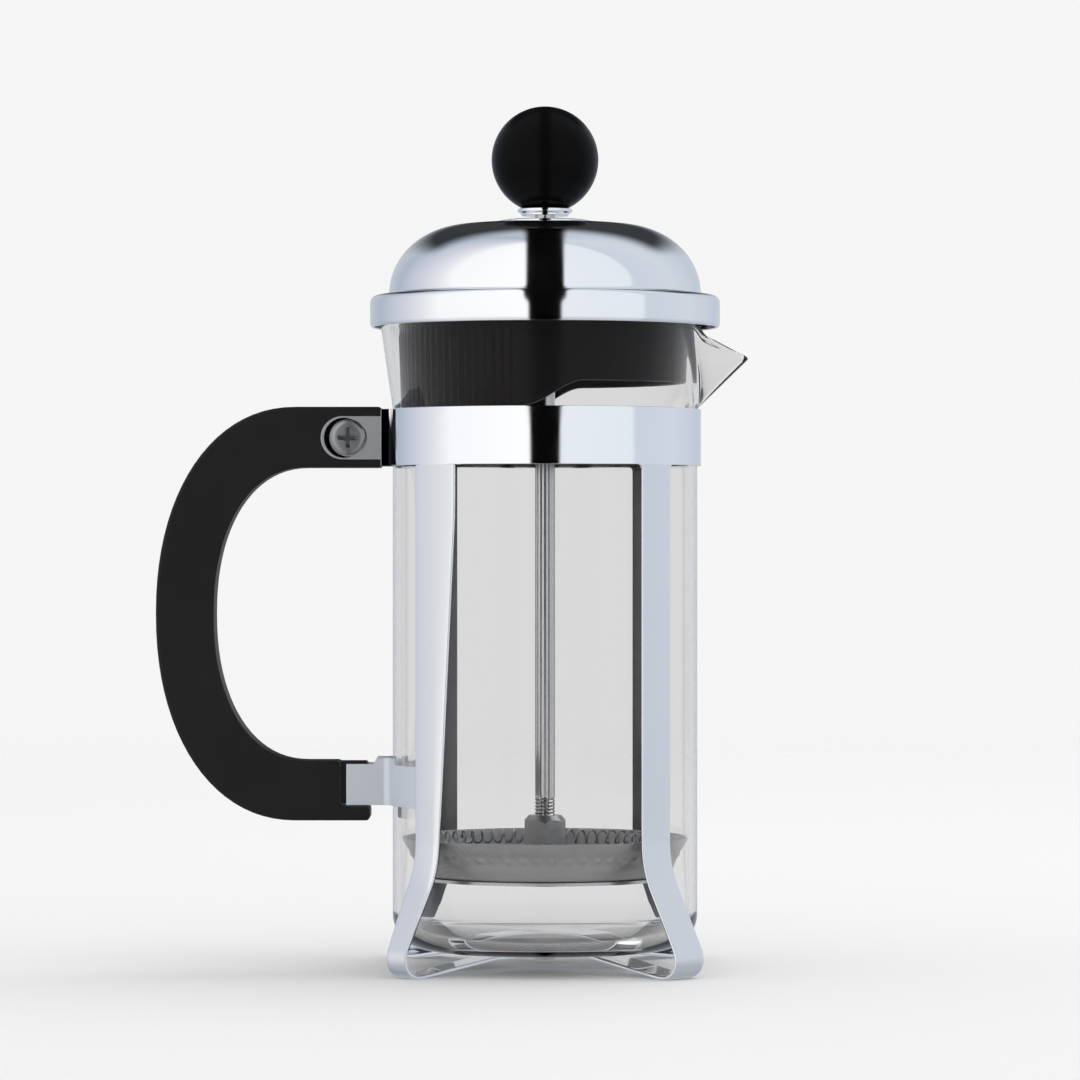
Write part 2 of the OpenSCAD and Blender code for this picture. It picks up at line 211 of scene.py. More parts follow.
def mesh_object(name, shape, bevel=0.0, bevel_if=None, segments=2):
    verts, faces = shape
    mesh = bpy.data.meshes.new(name)
    mesh.from_pydata([(x * MM, y * MM, z * MM) for x, y, z in verts], [], faces)
    bm = bmesh.new()
    bm.from_mesh(mesh)
    bmesh.ops.recalc_face_normals(bm, faces=bm.faces)
    if bevel:
        edges = [e for e in bm.edges
                 if len(e.link_faces) == 2 and e.calc_face_angle() > SMOOTH_BELOW
                 and (bevel_if is None or bevel_if(e))]
        bmesh.ops.bevel(bm, geom=edges, offset=bevel * MM, segments=segments,
                        affect="EDGES", profile=0.5, clamp_overlap=True)
    bm.to_mesh(mesh)
    bm.free()
    for polygon in mesh.polygons:
        polygon.use_smooth = True
    mesh.set_sharp_from_angle(angle=SMOOTH_BELOW)
    obj = bpy.data.objects.new(name, mesh)
    bpy.context.collection.objects.link(obj)
    return obj


def weigh_normals(obj):
    """Large faces keep their own normals beside narrow bevels."""
    modifier = obj.modifiers.new("weighted", "WEIGHTED_NORMAL")
    modifier.keep_sharp = True
    modifier.weight = 100


def piece(name, shape, body, slot, material, replaced, **options):
    """A visible piece that rides on a body and stands for its CAD nodes."""
    obj = mesh_object(name, shape, **options)
    obj.data.materials.append(material)
    weigh_normals(obj)
    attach(obj, body)
    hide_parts(*replaced)
    return obj


def carve(obj, cutter):
    """Cuts one mesh object out of another and deletes the cutter."""
    obj.modifiers.clear()
    modifier = obj.modifiers.new("carve", "BOOLEAN")
    modifier.operation = "DIFFERENCE"
    modifier.solver = "EXACT"
    modifier.object = cutter
    evaluated = obj.evaluated_get(bpy.context.evaluated_depsgraph_get())
    mesh = bpy.data.meshes.new_from_object(evaluated)
    obj.modifiers.clear()
    obj.data = mesh
    bpy.data.objects.remove(cutter)
    mesh.set_sharp_from_angle(angle=SMOOTH_BELOW)
    weigh_normals(obj)


# ---- Materials ----

CLOUDS = (35.0, 3.0)            # scale and detail of the noise that tints chrome
POLISH = (160.0, 4.0)           # and of the noise that its roughness follows
POLISHED = (0.04, 0.09)         # range of that roughness


def fill(tree, node, inputs):
    """Sets a node's inputs to values, or links them to the outputs of other nodes."""
    for key, value in inputs.items():
        if isinstance(value, bpy.types.NodeSocket):
            tree.links.new(value, node.inputs[key])
        else:
            node.inputs[key].default_value = value


def add_node(tree, kind, inputs, **settings):
    node = tree.nodes.new(kind)
    for key, value in settings.items():
        setattr(node, key, value)
    fill(tree, node, inputs)
    return node


def blank_material(name):
    material = bpy.data.materials.new(name)
    material.use_nodes = True
    return material, material.node_tree, material.node_tree.nodes["Principled BSDF"]


def object_coordinates(tree, scale=(1.0, 1.0, 1.0)):
    source = add_node(tree, "ShaderNodeTexCoord", {}).outputs["Object"]
    return add_node(tree, "ShaderNodeMapping", {"Vector": source, "Scale": scale}).outputs["Vector"]


def noise(tree, vector, scale, detail=2.0):
    inputs = {"Vector": vector, "Scale": scale, "Detail": detail}
    return add_node(tree, "ShaderNodeTexNoise", inputs).outputs["Fac"]


def ranged(tree, value, low, high, start=0.0, end=1.0, kind="LINEAR"):
    """Maps a value that runs from start to end onto low to high."""
    inputs = {"Value": value, "From Min": start, "From Max": end, "To Min": low, "To Max": high}
    return add_node(tree, "ShaderNodeMapRange", inputs, interpolation_type=kind).outputs["Result"]


def soft_step(tree, value, start, end):
    return ranged(tree, value, 0.0, 1.0, start, end, "SMOOTHSTEP")


def calculated(tree, operation, *values):
    """What a Math node makes of numbers or the outputs of other nodes."""
    node = add_node(tree, "ShaderNodeMath", dict(enumerate(values)), operation=operation)
    return node.outputs["Value"]


def bump(tree, height, distance, strength):
    inputs = {"Height": height, "Distance": distance, "Strength": strength}
    return add_node(tree, "ShaderNodeBump", inputs).outputs["Normal"]


def graded(tree, value, stops):
    """A colour from a list of (position, colour), by a value from 0 to 1."""
    ramp = add_node(tree, "ShaderNodeValToRGB", {"Fac": value})
    elements = ramp.color_ramp.elements
    while len(elements) > 1:
        elements.remove(elements[0])
    elements[0].position, elements[0].color = stops[0][0], (*stops[0][1], 1.0)
    for position, colour in stops[1:]:
        elements.new(position).color = (*colour, 1.0)
    return ramp.outputs["Color"]


def two_tone(tree, value, dark, light):
    return graded(tree, value, [(0.0, dark), (1.0, light)])


def side_of_plane(tree, coords, direction, offset):
    """1 where the coordinates lie past a plane, 0 before it, with a narrow soft edge."""
    half_edge = 0.15 * MM
    along = add_node(tree, "ShaderNodeVectorMath", {0: coords, 1: direction}, operation="DOT_PRODUCT")
    return ranged(tree, along.outputs["Value"], 0.0, 1.0, offset - half_edge, offset + half_edge)


def mixed_colour(tree, factor, base, over):
    inputs = {"Factor": factor, 6: base, 7: (*over, 1.0)}
    return add_node(tree, "ShaderNodeMix", inputs, data_type="RGBA").outputs[2]


def surface_material(name, dark, light, clouds, roughness, grain, metallic=1.0, shine=0.5,
                     relief=None, stretch=(1.0, 1.0, 1.0)):
    """Clouded between two tones. Its roughness and relief follow a grain. The clouds and
    the grain are (scale, detail) of a noise, and the relief is (distance, strength)."""
    material, tree, bsdf = blank_material(name)
    coords = object_coordinates(tree, stretch)
    fine = noise(tree, coords, *grain)
    fill(tree, bsdf, {"Base Color": two_tone(tree, noise(tree, coords, *clouds), dark, light),
                      "Metallic": metallic, "Roughness": ranged(tree, fine, *roughness),
                      "Specular IOR Level": shine})
    if relief:
        fill(tree, bsdf, {"Normal": bump(tree, fine, *relief)})
    return material


def chrome_material(name, dark, light):
    return surface_material(name, dark, light, CLOUDS, POLISHED, POLISH)


def steel_material(name, dark, light, roughness, stretch=(1.0, 1.0, 1.0)):
    """Drawn or pressed steel, with fine lines along the way that stretch is small."""
    lines = (900.0, 3.0)
    return surface_material(name, dark, light, lines, roughness, lines, relief=(0.000004, 0.2),
                            stretch=stretch)


def moulded_plastic(name, dark, light, roughness, shine, grain_scale, grain_height):
    return surface_material(name, dark, light, (60.0, 4.0), roughness, (grain_scale, 2.0),
                            metallic=0.0, shine=shine, relief=(grain_height, 0.4))


def band_material():
    """Chrome of the clamp band. Its ears are satin, and the bends that lead into them carry
    painted shade: dark up to a slanting line."""
    material, tree, bsdf = blank_material("band_chrome")
    coords = object_coordinates(tree)
    # painted shade: past this slanting plane the bends get a near-black colour instead of chrome
    bend = side_of_plane(tree, coords, (-1.0, 0.0, -0.1626), 15.05 * MM)
    ear_share = side_of_plane(tree, coords, (-1.0, 0.0, 0.0), 37.5 * MM)
    cloudy = two_tone(tree, noise(tree, coords, *CLOUDS), (0.92, 0.935, 0.96), (0.96, 0.97, 0.98))
    shaded = mixed_colour(tree, bend, cloudy, (0.012, 0.014, 0.017))
    polished = ranged(tree, noise(tree, coords, *POLISH), *POLISHED)
    rough = add_node(tree, "ShaderNodeMix", {"Factor": ear_share, "A": polished, "B": 0.42})
    fill(tree, bsdf, {"Base Color": mixed_colour(tree, ear_share, shaded, (0.66, 0.66, 0.67)),
                      "Metallic": 1.0, "Roughness": rough.outputs["Result"]})
    return material


def wire_cloth_material():
    """Fine woven wire: two crossed sets of waves."""
    material, tree, bsdf = blank_material("wire_cloth")
    coords = object_coordinates(tree)
    wave = {"Vector": coords, "Scale": 1400.0, "Distortion": 0.4}
    waves = [add_node(tree, "ShaderNodeTexWave", wave, bands_direction=direction).outputs["Fac"]
             for direction in ("DIAGONAL", "Z")]
    woven = calculated(tree, "MULTIPLY", *waves)
    fill(tree, bsdf, {"Base Color": two_tone(tree, woven, (0.42, 0.42, 0.425), (0.5, 0.5, 0.505)),
                      "Metallic": 0.6, "Normal": bump(tree, woven, 0.00003, 0.25),
                      "Roughness": ranged(tree, noise(tree, coords, 400.0), 0.38, 0.52)})
    return material


def glass_material():
    """Clear glass that lets lamps light what is inside it."""
    material, tree, bsdf = blank_material("clear_glass")
    coords = object_coordinates(tree)
    fill(tree, bsdf, {"Base Color": (0.985, 0.983, 0.981, 1.0), "Transmission Weight": 1.0,
                      "IOR": 1.47, "Specular Tint": (0.15, 0.15, 0.15, 1.0),
                      "Roughness": ranged(tree, noise(tree, coords, 25.0), 0.0, 0.012),
                      "Normal": bump(tree, noise(tree, coords, 18.0, 1.0), 0.00004, 0.15)})
    path = add_node(tree, "ShaderNodeLightPath", {})
    clear = add_node(tree, "ShaderNodeBsdfTransparent", {"Color": (0.95, 0.95, 0.95, 1.0)})
    mix = add_node(tree, "ShaderNodeMixShader", {"Fac": path.outputs["Is Shadow Ray"],
                                                 1: bsdf.outputs["BSDF"], 2: clear.outputs["BSDF"]})
    fill(tree, tree.nodes["Material Output"], {"Surface": mix.outputs["Shader"]})
    return material


CHROME = chrome_material("polished_chrome", (0.92, 0.93, 0.95), (0.96, 0.965, 0.975))
LEG_CHROME = chrome_material("leg_chrome", (0.85, 0.86, 0.875), (0.88, 0.89, 0.90))
BAND_CHROME = band_material()
SATIN_CHROME = surface_material("satin_chrome", (0.70, 0.74, 0.80), (0.74, 0.78, 0.84), (50.0, 3.0),
                                (0.42, 0.52), (200.0, 4.0), metallic=0.5)
STEEL = steel_material("drawn_steel", (0.52, 0.52, 0.525), (0.60, 0.60, 0.605), (0.14, 0.22),
                       stretch=(1.0, 1.0, 0.03))
PRESSED = steel_material("pressed_steel", (0.46, 0.465, 0.47), (0.62, 0.625, 0.63), (0.25, 0.4))
SCREW_STEEL = steel_material("grey_screw_steel", (0.3, 0.3, 0.305), (0.46, 0.46, 0.465), (0.3, 0.45))
# painted shade: a dark steel for the straps' faces against the glass and for the screw's cross recess
SHADE_STEEL = steel_material("painted_shade_steel", (0.13, 0.13, 0.135), (0.18, 0.18, 0.185), (0.35, 0.5))
CLOTH = wire_cloth_material()
HANDLE_BLACK = moulded_plastic("satin_black_plastic", (0.010, 0.010, 0.010), (0.016, 0.016, 0.016),
                               (0.42, 0.55), 0.16, 900.0, 0.00003)
LINING_BLACK = moulded_plastic("brown_black_plastic", (0.006, 0.0046, 0.005), (0.009, 0.007, 0.0075),
                               (0.26, 0.36), 0.08, 500.0, 0.00002)
KNOB_BLACK = moulded_plastic("polished_black_plastic", (0.002, 0.002, 0.002), (0.004, 0.004, 0.004),
                             (0.2, 0.3), 0.05, 300.0, 0.00001)
GLASS = glass_material()


# ---- Stand: clamp band, straps, bracket, handle, beaker ----

def branch(side, offset, blend):
    """Where a sheet leaves the round of the frame for a straight run towards -X.
    Returns the blend's centre and the angle on the round at which it starts."""
    centre_y = side * (offset + blend)
    centre_x = -math.sqrt((FRAME_R + blend) ** 2 - centre_y ** 2)
    return Vector((centre_x, centre_y)), math.atan2(centre_y, centre_x)


def branch_path(side, offset, blend, far_x, start_angle):
    """Middle line of a sheet, with its outward normals, from an angle on the round of the
    frame, through a concave blend, to a straight run that ends at far_x."""
    centre, leave = branch(side, offset, blend)
    start = math.radians(start_angle)
    if side > 0:
        span = leave - start
    else:
        span = leave + 2 * math.pi - start
    step_degrees, steps = 1.5, 12
    path = []
    count = max(2, int(abs(math.degrees(span)) / step_degrees))
    for i in range(count + 1):
        angle = start + span * i / count
        normal = heading(angle)
        path.append((normal * FRAME_R, normal))
    toward = math.atan2(-centre.y, -centre.x)
    turn = math.atan2(-side, 0.0)
    swing = (turn - toward + math.pi) % (2 * math.pi) - math.pi
    for i in range(1, steps + 1):
        angle = toward + swing * i / steps
        out = heading(angle)
        path.append((centre + out * blend, -out))
    straight = Vector((0.0, float(side)))
    start_x = centre.x
    for i in range(1, steps + 1):
        path.append((Vector((start_x + (far_x - start_x) * i / steps, side * offset)), straight))
    return path


def sheet_ring(point, normal, low, high):
    """Section of an upright sheet at a point of its middle line."""
    outer = point + normal * (SHEET / 2)
    inner = point - normal * (SHEET / 2)
    return [(outer.x, outer.y, low), (outer.x, outer.y, high),
            (inner.x, inner.y, high), (inner.x, inner.y, low)]


def round_ring(angle, low, high, inset=0.0):
    """The same on the round of the frame, or that much inside it."""
    normal = heading(angle)
    return sheet_ring(normal * (FRAME_R - inset), normal, low, high)


def window_edge(angle):
    """Lower edge of the band at an angle on the round: drawn down by a small fillet
    beside each leg, level elsewhere."""
    fillet_r = 1.0
    for azimuth in (45.0, 135.0, LEAN_AZIMUTH, 315.0):
        away = (math.degrees(angle) - azimuth + 180.0) % 360.0 - 180.0
        past = math.radians(abs(away)) * FRAME_R - LEG_W / 2
        if azimuth == LEAN_AZIMUTH:
            past -= LEAN[1] if away > 0 else LEAN_OUTER
        if 0.0 <= past < fillet_r:
            return BAND_Z[0] - fillet_r + math.sqrt(fillet_r ** 2 - (fillet_r - past) ** 2)
    return BAND_Z[0]


def clamp_band():
    """The band, from the root of one ear round the glass to the root of the other."""
    offset = HANDLE_T / 2 - SHEET / 2
    blend = 1.0
    sides = {}
    for side in (1, -1):
        stations = []
        for point, normal in branch_path(side, offset, blend, EAR_ROOT_X, side * 90.0 % 360.0):
            low = BAND_Z[0]
            if abs(point.length - FRAME_R) < 1e-6:
                low = window_edge(math.atan2(point.y, point.x))
            stations.append(sheet_ring(point, normal, low, BAND_Z[1]))
        sides[side] = stations
    angles = {float(a) for a in range(-88, 89, 2)}
    for leg in (45.0, -45.0):
        for past in (0.0, 0.1, 0.25, 0.45, 0.7, 1.0):
            reach = math.degrees((LEG_W / 2 + past + 1e-4) / FRAME_R)
            angles.update((leg - reach, leg + reach))
    front = [round_ring(angle, window_edge(angle), BAND_Z[1])
             for angle in sorted(math.radians(a) for a in angles)]
    shape = swept(list(reversed(sides[-1])) + front + sides[1])

    def free_edge(edge):
        a, b = (v.co / MM for v in edge.verts)
        if max(a.z, b.z) > BAND_Z[0] + 0.01:
            return True
        middle = (a + b) / 2
        angle = math.degrees(math.atan2(middle.y, middle.x)) % 90.0
        return abs(angle - 45.0) > math.degrees(LEG_W / 2 / FRAME_R)

    piece("clamp_band", shape, "stand", "chrome", BAND_CHROME, ["frame_band"],
                 bevel=0.16, bevel_if=free_edge)


def ear(name, side):
    """Flat end of the band with a round end, a shallow round dish and the screw's hole."""
    centre_x = EAR_END_X + EAR_R
    outline = arc(centre_x, SCREW.z, EAR_R, 90, 270, 32)
    outline += [(EAR_ROOT_X - 0.01, SCREW.z - EAR_R), (EAR_ROOT_X - 0.01, SCREW.z + EAR_R)]
    face = HANDLE_T / 2
    obj = piece(name, extruded(outline, side * (face - SHEET), side * face), "stand", "chrome",
                BAND_CHROME, ["frame_band"], bevel=0.14)
    floor_y = face - DISH_DEPTH
    for x, radius, near in ((DISH_X, DISH_R, floor_y), (SCREW.x, SCREW_HOLE_R, 0.0)):
        circle = arc(x, SCREW.z, radius, 0, 354, 59)
        carve(obj, mesh_object("cutter", extruded(circle, side * near, side * (face + OVERLAP))))
    obj.data.materials.append(CHROME)
    for polygon in obj.data.polygons:
        if abs(abs(polygon.center.y) / MM - floor_y) < 0.05 and abs(polygon.normal.y) > 0.9:
            polygon.material_index = 1
    obj.visible_glossy = False


def strap_line(level):
    """Middle line of half a strap, from its top end to the axis, as (radius, z) with the
    outward normal at each point."""
    half = SHEET / 2
    knee_r, heel_r, crossing_r = 24.0, 6.0, 12.0
    toe_steps, longest = 20, 6.0
    toe = FOOT_R + FOOT_FLAT / 2
    heel = FOOT_R - FOOT_FLAT / 2
    bend = FOOT_BEND - half
    splay_end = (toe + bend * math.cos(SPLAY), FOOT_BEND + bend * math.sin(SPLAY))
    splay_z = splay_end[1] + (splay_end[0] - FRAME_R) / math.tan(SPLAY)
    upper = fillet([(FRAME_R, BAND_Z[0], 0), (FRAME_R, splay_z, knee_r), (*splay_end, 0)],
                   closed=False, count=12)
    toe_bend = arc(toe, FOOT_BEND, bend, math.degrees(SPLAY), -90.0, toe_steps)[1:]
    lower = fillet([(toe, half, 0), (heel, half, heel_r), (CROSSING_R, level + half, crossing_r),
                    (0.0, level + half, 0)], closed=False, count=12)
    points = upper + toe_bend + lower[1:]
    dense = []
    for a, b in zip(points, points[1:]):
        steps = max(1, int(math.dist(a, b) / longest))
        dense += [(a[0] + (b[0] - a[0]) * i / steps, a[1] + (b[1] - a[1]) * i / steps)
                  for i in range(steps)]
    dense.append(points[-1])
    line = []
    for i, point in enumerate(dense):
        before = Vector(dense[max(0, i - 1)])
        after = Vector(dense[min(len(dense) - 1, i + 1)])
        along = (after - before).normalized()
        line.append((point[0], point[1], -along.y, along.x))
    return line


def lean(z):
    """How far the inner edge of the front left leg is moved at a height."""
    share = min(1.0, max(0.0, (z - LEAN_Z[0]) / (LEAN_Z[1] - LEAN_Z[0])))
    return LEAN[0] + (LEAN[1] - LEAN[0]) * share


def strap(name, azimuth, level, node):
    """A U-shaped strap with two feet, on a diameter of the beaker."""
    half_w, half_t = LEG_W / 2, SHEET / 2
    edge_r, panel_w = 0.3, 0.8
    round_z, outer_z = (12.0, 26.0), (4.0, 20.0)
    dark_above = 7.0
    section = fillet([(-half_w, -half_t, edge_r), (half_w, -half_t, edge_r),
                      (half_w, half_t, edge_r), (-half_w, half_t, edge_r)], count=3)
    full = []
    for i, (w, t) in enumerate(section):
        nw, nt = section[(i + 1) % len(section)]
        steps = max(1, int(abs(nw - w) / panel_w))
        full += [(w + (nw - w) * k / steps, t + (nt - t) * k / steps) for k in range(steps)]
    along = heading(math.radians(azimuth))
    side = Vector((-along.y, along.x))
    half_line = strap_line(level)
    line = half_line + [(-r, z, -nr, nz) for r, z, nr, nz in reversed(half_line[:-1])]
    rings = []
    for r, z, nr, nz in line:
        curve = smoothstep(*round_z, z)
        ring = []
        for w, t in full:
            sag = (FRAME_R - math.sqrt(FRAME_R ** 2 - w ** 2)) * curve
            radial = r + nr * t - math.copysign(sag, r)
            if azimuth + 180.0 == LEAN_AZIMUTH and r < 0:
                moved = lean(z) if w < 0 else LEAN_OUTER * smoothstep(*outer_z, z)
                w *= 1.0 + moved / half_w
            place = along * radial + side * w
            ring.append((place.x, place.y, z + nz * t))
        rings.append(ring)
    obj = piece(name, swept(rings), "stand", "chrome", LEG_CHROME, [node])
    # painted shade: the inner faces above dark_above, against the glass, get the dark shade steel
    obj.data.materials.append(SHADE_STEEL)
    size = len(full)
    for i, polygon in enumerate(obj.data.polygons):
        t, next_t = full[i % size][1], full[(i + 1) % size][1]
        inside = i < size * (len(rings) - 1) and max(t, next_t) < edge_r - half_t
        if inside and polygon.center.z > dark_above * MM:
            polygon.material_index = 1


def handle_bracket():
    """Strip round the glass between two legs, with two blended cheeks and a small tab."""
    low, high = 37.6, 47.0
    offset = 5.4 - SHEET / 2
    blend, cheek_x = 2.5, -45.5
    tab_x, tab_h, tab_half_w = (-39.0, -33.9), 1.4, 9.0
    strip_steps = 12
    leg_edge = 45.0 + math.degrees(LEG_W / 2 / FRAME_R)
    shells = []
    for side in (1, -1):
        start = 180.0 - side * (90.0 - leg_edge)
        stations = []
        for point, normal in branch_path(side, offset, blend, cheek_x, start):
            on_tab = tab_x[0] < point.x < tab_x[1] and abs(point.y) < tab_half_w
            tab = tab_h if on_tab else 0.0
            stations.append(sheet_ring(point, normal, low, high + tab))
        shells.append(swept(stations))
    reach = math.degrees(math.asin(offset / FRAME_R)) + 4.0
    strip = []
    for i in range(strip_steps + 1):
        angle = math.radians(180.0 - reach + 2 * reach * i / strip_steps)
        strip.append(round_ring(angle, low + 0.05, high - 0.05, inset=0.02))
    shells.append(swept(strip))
    piece("socket_bracket", joined(*shells), "stand", "chrome", SATIN_CHROME,
                 ["handle_bracket"], bevel=0.14)


def half_superellipse(cx, reach, heights, power, top_first, count=44):
    """The half of a superellipse on the side of -X, from the top down or back up."""
    cz = sum(heights) / 2
    a, b = reach + cx, (heights[1] - heights[0]) / 2
    points = []
    for i in range(count + 1):
        t = math.pi * i / count
        if not top_first:
            t = math.pi - t
        s, c = abs(math.sin(t)), math.cos(t)
        points.append((cx - a * s ** (2 / power), cz + b * math.copysign(abs(c) ** (2 / power), c)))
    return points


def handle_grip():
    """Moulded loop with rounded edges and a pocket for each ear."""
    outer_x, inner_x = -57.0, -54.4
    outer_power, inner_power = 2.15, 2.2
    lip_x, lip_z = -40.1, 37.3
    outline = [(HANDLE_END_X, HANDLE_Z[1])]
    outline += half_superellipse(outer_x, HANDLE_REACH, HANDLE_Z, outer_power, True)
    outline += [(lip_x, HANDLE_Z[0]), (lip_x, lip_z), (SOCKET_X, lip_z), (SOCKET_X, GRIP_Z[0])]
    outline += half_superellipse(inner_x, GRIP_REACH, GRIP_Z, inner_power, False)
    outline += [(HANDLE_END_X, GRIP_Z[1])]
    body = extruded(outline, -HANDLE_T / 2, HANDLE_T / 2)

    obj = piece("loop_handle", body, "stand", "handle_plastic", HANDLE_BLACK, ["handle"],
                bevel=0.9, segments=4)
    pocket_r, pocket_depth = EAR_R + 0.12, SHEET + 0.06
    open_x = HANDLE_END_X + 3
    slot = arc(EAR_END_X + EAR_R, SCREW.z, pocket_r, 90, 270, 24)
    slot += [(open_x, SCREW.z - pocket_r), (open_x, SCREW.z + pocket_r)]
    for side in (1, -1):
        near, far = side * (HANDLE_T / 2 - pocket_depth), side * (HANDLE_T / 2 + 2 * OVERLAP)
        carve(obj, mesh_object("pocket", extruded(slot, near, far)))
    obj.visible_glossy = False


def handle_tongue():
    """Narrower end of the handle, inside the bracket's socket."""
    root_x, end_x = SOCKET_X - 3, -40.7
    low, high, half_w, end_r = 37.9, 47.5, 4.4, 0.6
    outline = fillet([(root_x, low, 0), (end_x, low, end_r), (end_x, high, end_r), (root_x, high, 0)])
    tongue = mesh_object("handle_tongue", extruded(outline, -half_w, half_w), bevel=0.4)
    tongue.data.materials.append(HANDLE_BLACK)
    tongue.visible_glossy = False
    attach(tongue, "stand")


def handle_screw():
    """Pan head with a cross recess, at the front, and its shank."""
    head_r, head_t, shank_r = 4.3, 2.2, 2.0
    seat = DISH_DEPTH - 0.02
    profile = fillet([(0.0, -head_t, 0), (head_r - 0.3, -head_t + 0.15, 1.5), (head_r, seat - 0.2, 0.25),
                      (head_r - 0.1, seat, 0), (shank_r, seat, 0)], closed=False, count=6)
    shank_end = HANDLE_T + 4.3
    profile += [(shank_r, shank_end - 0.5), (shank_r - 0.5, shank_end), (0.0, shank_end)]
    verts, faces = turned(profile, 64, looped=False)
    front = -HANDLE_T / 2 - 0.03
    verts = [(SCREW.x + x, front + z, SCREW.z + y) for x, y, z in verts]
    obj = piece("cross_head_screw", (verts, faces), "stand", "screw_steel", SCREW_STEEL, ["handle_screw"])
    arm, wing, tip_r, root_r = 2.35, 0.52, 0.2, 0.75
    root = wing + 0.1
    cross = []
    for quarter in range(4):
        angle = math.pi / 2 * quarter
        for x, y, radius in ((arm, -wing, tip_r), (arm, wing, tip_r), (root, root, root_r)):
            cross.append((x * math.cos(angle) - y * math.sin(angle),
                          x * math.sin(angle) + y * math.cos(angle), radius))
    outline = fillet(cross, count=4)
    top = front - head_t
    rings = []
    for y, scale in ((top - OVERLAP, 1.1), (top + 0.1, 1.0), (top + 1.6, 0.62)):
        rings.append([(SCREW.x + x * scale, y, SCREW.z + z * scale) for x, z in outline])
    carve(obj, mesh_object("recess", swept(rings)))
    # painted shade: the walls of the cross recess get the dark shade steel
    obj.data.materials.append(SHADE_STEEL)
    for polygon in obj.data.polygons:
        x, y, z = polygon.center / MM
        depth = y - top
        if 0.2 < depth < 2.0 and math.hypot(x - SCREW.x, z - SCREW.z) < arm:
            polygon.material_index = 1
    obj.visible_glossy = False


def hex_profile(flats, low, high, bore, crown):
    """Profile at each angle of a hexagon nut with turned corners. The crown is the share
    of half the width across flats that stays flat on top."""
    ring_r = flats / 2 * crown
    slope = math.radians(30.0 if crown > 0.9 else 48.0)
    ease = 0.25

    def at(angle):
        within = (math.degrees(angle) + 30.0) % 60.0 - 30.0
        wall = flats / 2 / math.cos(math.radians(within))
        drop = (wall - ring_r) * math.tan(slope)
        return [(bore, low + ease), (bore + ease, low), (ring_r, low), (wall, low + drop),
                (wall, high - drop), (ring_r, high), (bore + ease, high), (bore, high - ease)]
    return at


def nut(name, flats, low, high, bore, body, material, slot, node, crown=0.98, place=None):
    """Hexagon nut on the axis, or where place(x, y, z) puts its points."""
    verts, faces = turned(hex_profile(flats, low, high, bore, crown), 72)
    if place:
        verts = [place(x, y, z) for x, y, z in verts]
    piece(name, (verts, faces), body, slot, material, [node])


def spout_share(angle, half_angle):
    """1 at the middle of the beak, falling to 0 at its sides in a rounded V."""
    tip_round = math.radians(1.6)
    off = abs((angle + math.pi) % (2 * math.pi) - math.pi)
    off = math.sqrt(off ** 2 + tip_round ** 2) - tip_round
    t = min(1.0, off / half_angle)
    return (1.0 - t) ** 2


def glass_outer(angle, z):
    flare = max(0.0, z - FLARE_Z) / (FLARE_TOP_Z - FLARE_Z)
    base = GLASS_R + (RIM_R - GLASS_R) * min(1.0, flare)
    rise = max(0.0, z - FLARE_Z)
    if rise == 0.0:
        return base
    tip = min(SPOUT_X, GLASS_R + rise * (SPOUT_X - GLASS_R) / (SPOUT_Z - FLARE_Z))
    half_angle = math.radians(10.0 + 22.0 * min(1.0, rise / (FLARE_TOP_Z - FLARE_Z)))
    return base + max(0.0, tip - base) * spout_share(angle, half_angle)


def glass_rim(angle):
    """Height of the rim: level, but dipping along the beak."""
    share = spout_share(angle, math.radians(32.0))
    shoulder = smoothstep(0.0, 0.25, share)
    return RIM_Z - 2.0 * shoulder - 5.6 * share


def glass_profile(angle):
    rim = glass_rim(angle)
    half = GLASS_WALL / 2
    inner_corner = GLASS_CORNER - GLASS_WALL
    start = FLARE_Z - 2.0
    rows = 30
    wall = [start + (rim - half - start) * i / rows for i in range(rows + 1)]
    outer = [(0.0, GLASS_Z + 0.5), (GLASS_R * 0.45, GLASS_Z + 0.35), (GLASS_R * 0.62, GLASS_Z + 0.1)]
    outer += arc(GLASS_R - GLASS_CORNER, GLASS_Z + GLASS_CORNER, GLASS_CORNER, -90, 0, 16)
    outer += [(GLASS_R, z) for z in (30.0, 60.0, 90.0, 110.0)]
    outer += [(glass_outer(angle, z), z) for z in wall]
    edge = glass_outer(angle, rim - half) - half
    top = arc(edge, rim - half, half, 22.5, 157.5, 6)
    inner = [(glass_outer(angle, z) - GLASS_WALL, z) for z in reversed(wall)]
    inner += [(GLASS_R - GLASS_WALL, z) for z in (110.0, 90.0, 60.0, 30.0)]
    floor = GLASS_Z + GLASS_BASE
    inner += arc(GLASS_R - GLASS_CORNER, floor + inner_corner, inner_corner, 0, -90, 12)
    inner += [(GLASS_R * 0.5, floor + 0.1), (0.0, floor + 0.2)]
    return outer + top + inner


def beaker():
    piece("glass_beaker_with_spout", turned(glass_profile, 360, looped=False), "stand", "glass",
          GLASS, ["glass_beaker"])


def strap_rivet():
    """Round head under the crossing straps, and its shank through both."""
    head_r, head_t, shank_r = 2.8, 0.9, 1.5
    low = CROSSING_Z[0] - head_t
    top = CROSSING_Z[1] + SHEET - 0.05
    profile = [(0.0, low)] + arc(1.9, low + head_t, head_t, -80, -5, 6)
    profile += [(head_r, CROSSING_Z[0]), (shank_r, CROSSING_Z[0]), (shank_r, top), (0.0, top)]
    piece("strap_rivet", turned(profile, 64, looped=False), "stand", "steel", PRESSED, ["base_rivet"])


# ---- Lid ----

